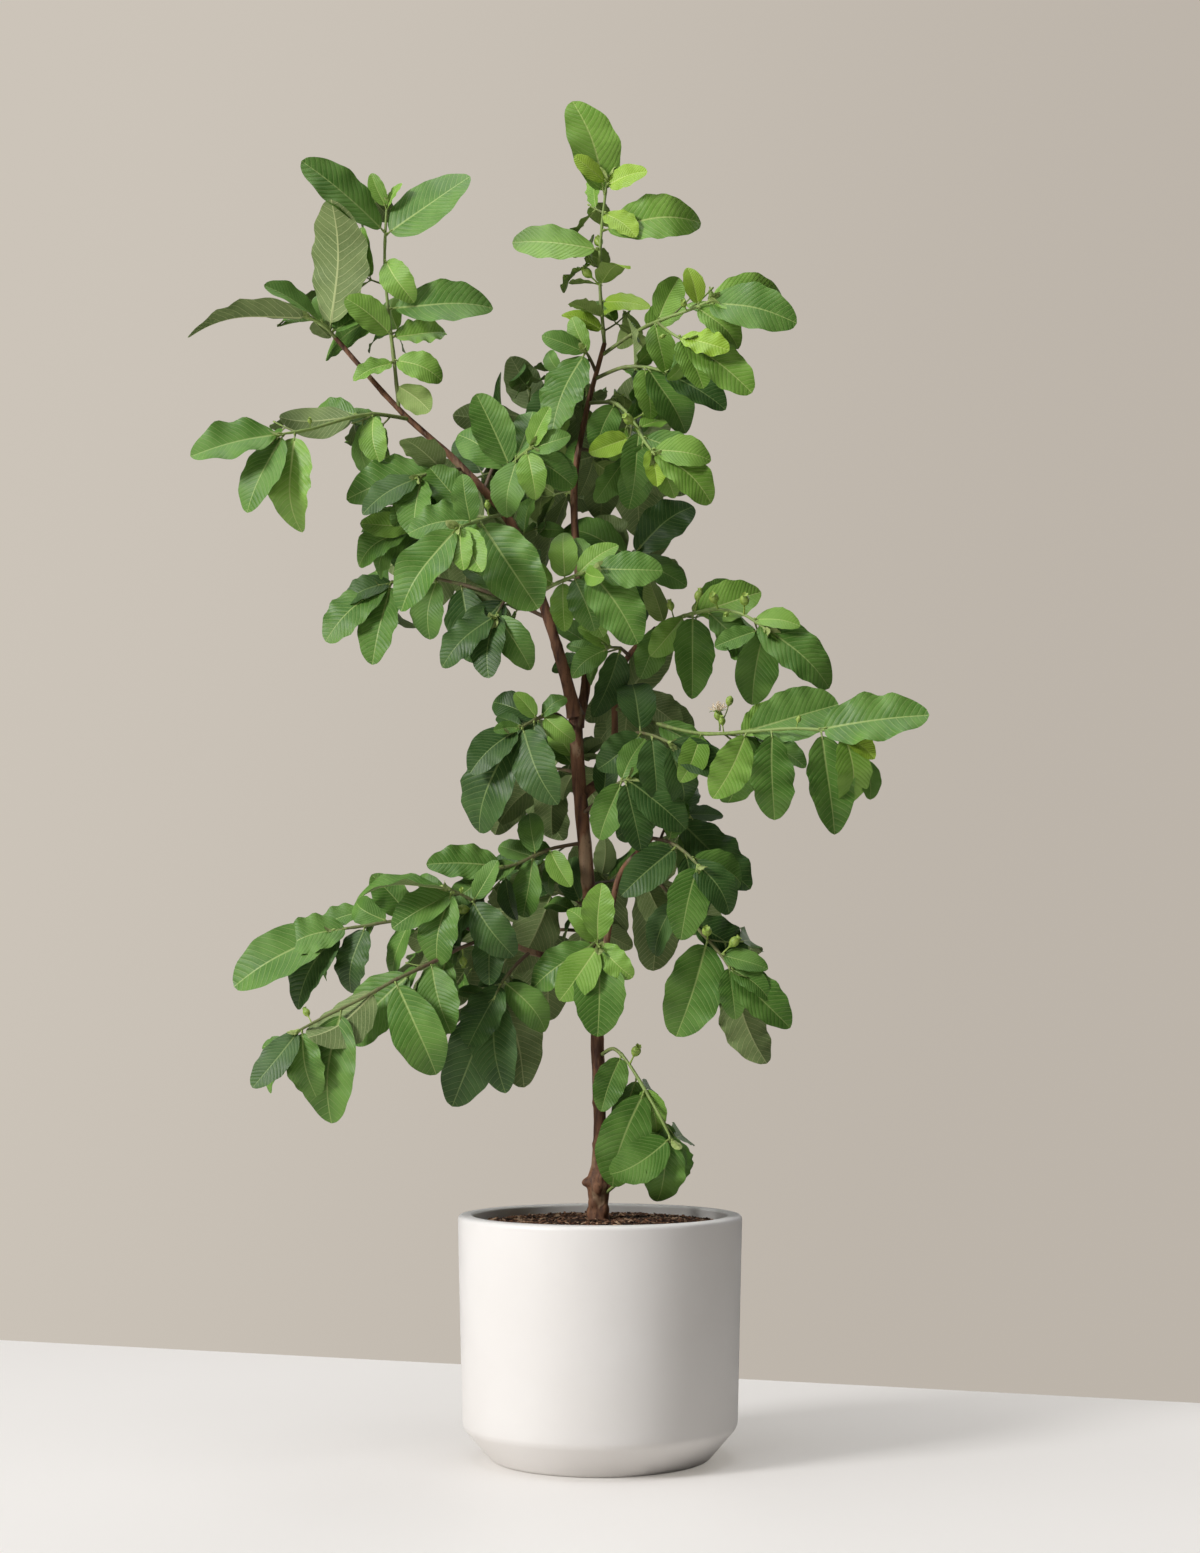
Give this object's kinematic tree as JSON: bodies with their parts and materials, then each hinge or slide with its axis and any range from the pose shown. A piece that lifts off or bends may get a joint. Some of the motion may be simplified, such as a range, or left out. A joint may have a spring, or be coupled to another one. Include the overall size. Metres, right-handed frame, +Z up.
{
  "type": "guava tree in a pot",
  "caption": "Young guava tree with an open crown of broad veined leaves, rooted in soil in a round white pot that stands on its flat underside.",
  "frame": {"origin": "centre of the pot's flat underside, on the floor it stands on", "axes": "+Z up along the trunk, -Y towards the viewer of the pictured side, +X to that viewer's right"},
  "size_m": [0.6426, 0.3617, 1.2103],
  "materials": {
    "pot": "satin",
    "soil": "matte",
    "bark": "matte",
    "leaves": "satin"
  },
  "bodies": {
    "root": {"bough_centre": "bark", "bough_left": "bark", "bough_low_left": "bark", "bough_low_right": "bark", "bough_right": "bark", "foliage_back_centre": "leaves", "foliage_back_high": "leaves", "foliage_back_left": "leaves", "foliage_back_low_left": "leaves", "foliage_back_low_right": "leaves", "foliage_back_mid": "leaves", "foliage_back_right": "leaves", "foliage_base_sprout": "leaves", "foliage_centre_behind": "leaves", "foliage_centre_left": "leaves", "foliage_centre_mid": "leaves", "foliage_centre_right": "leaves", "foliage_centre_right_high": "leaves", "foliage_crown_right": "leaves", "foliage_crown_top": "leaves", "foliage_fork": "leaves", "foliage_inner_back": "leaves", "foliage_inner_high": "leaves", "foliage_left_heart": "leaves", "foliage_left_low": "leaves", "foliage_left_mid": "leaves", "foliage_left_outer": "leaves", "foliage_left_tip": "leaves", "foliage_left_upright": "leaves", "foliage_low_left_far": "leaves", "foliage_low_left_hanging": "leaves", "foliage_low_left_outer": "leaves", "foliage_low_left_upper": "leaves", "foliage_low_right": "leaves", "foliage_low_right_outer": "leaves", "foliage_right_arm": "leaves", "foliage_right_high": "leaves", "foliage_right_inner": "leaves", "foliage_right_inner_low": "leaves", "foliage_trunk_back_low": "leaves", "foliage_trunk_front": "leaves", "foliage_trunk_left_high": "leaves", "foliage_trunk_left_mid": "leaves", "foliage_trunk_low_right": "leaves", "pot": "pot", "soil": "soil", "trunk": "bark"}
  },
  "joints": []
}
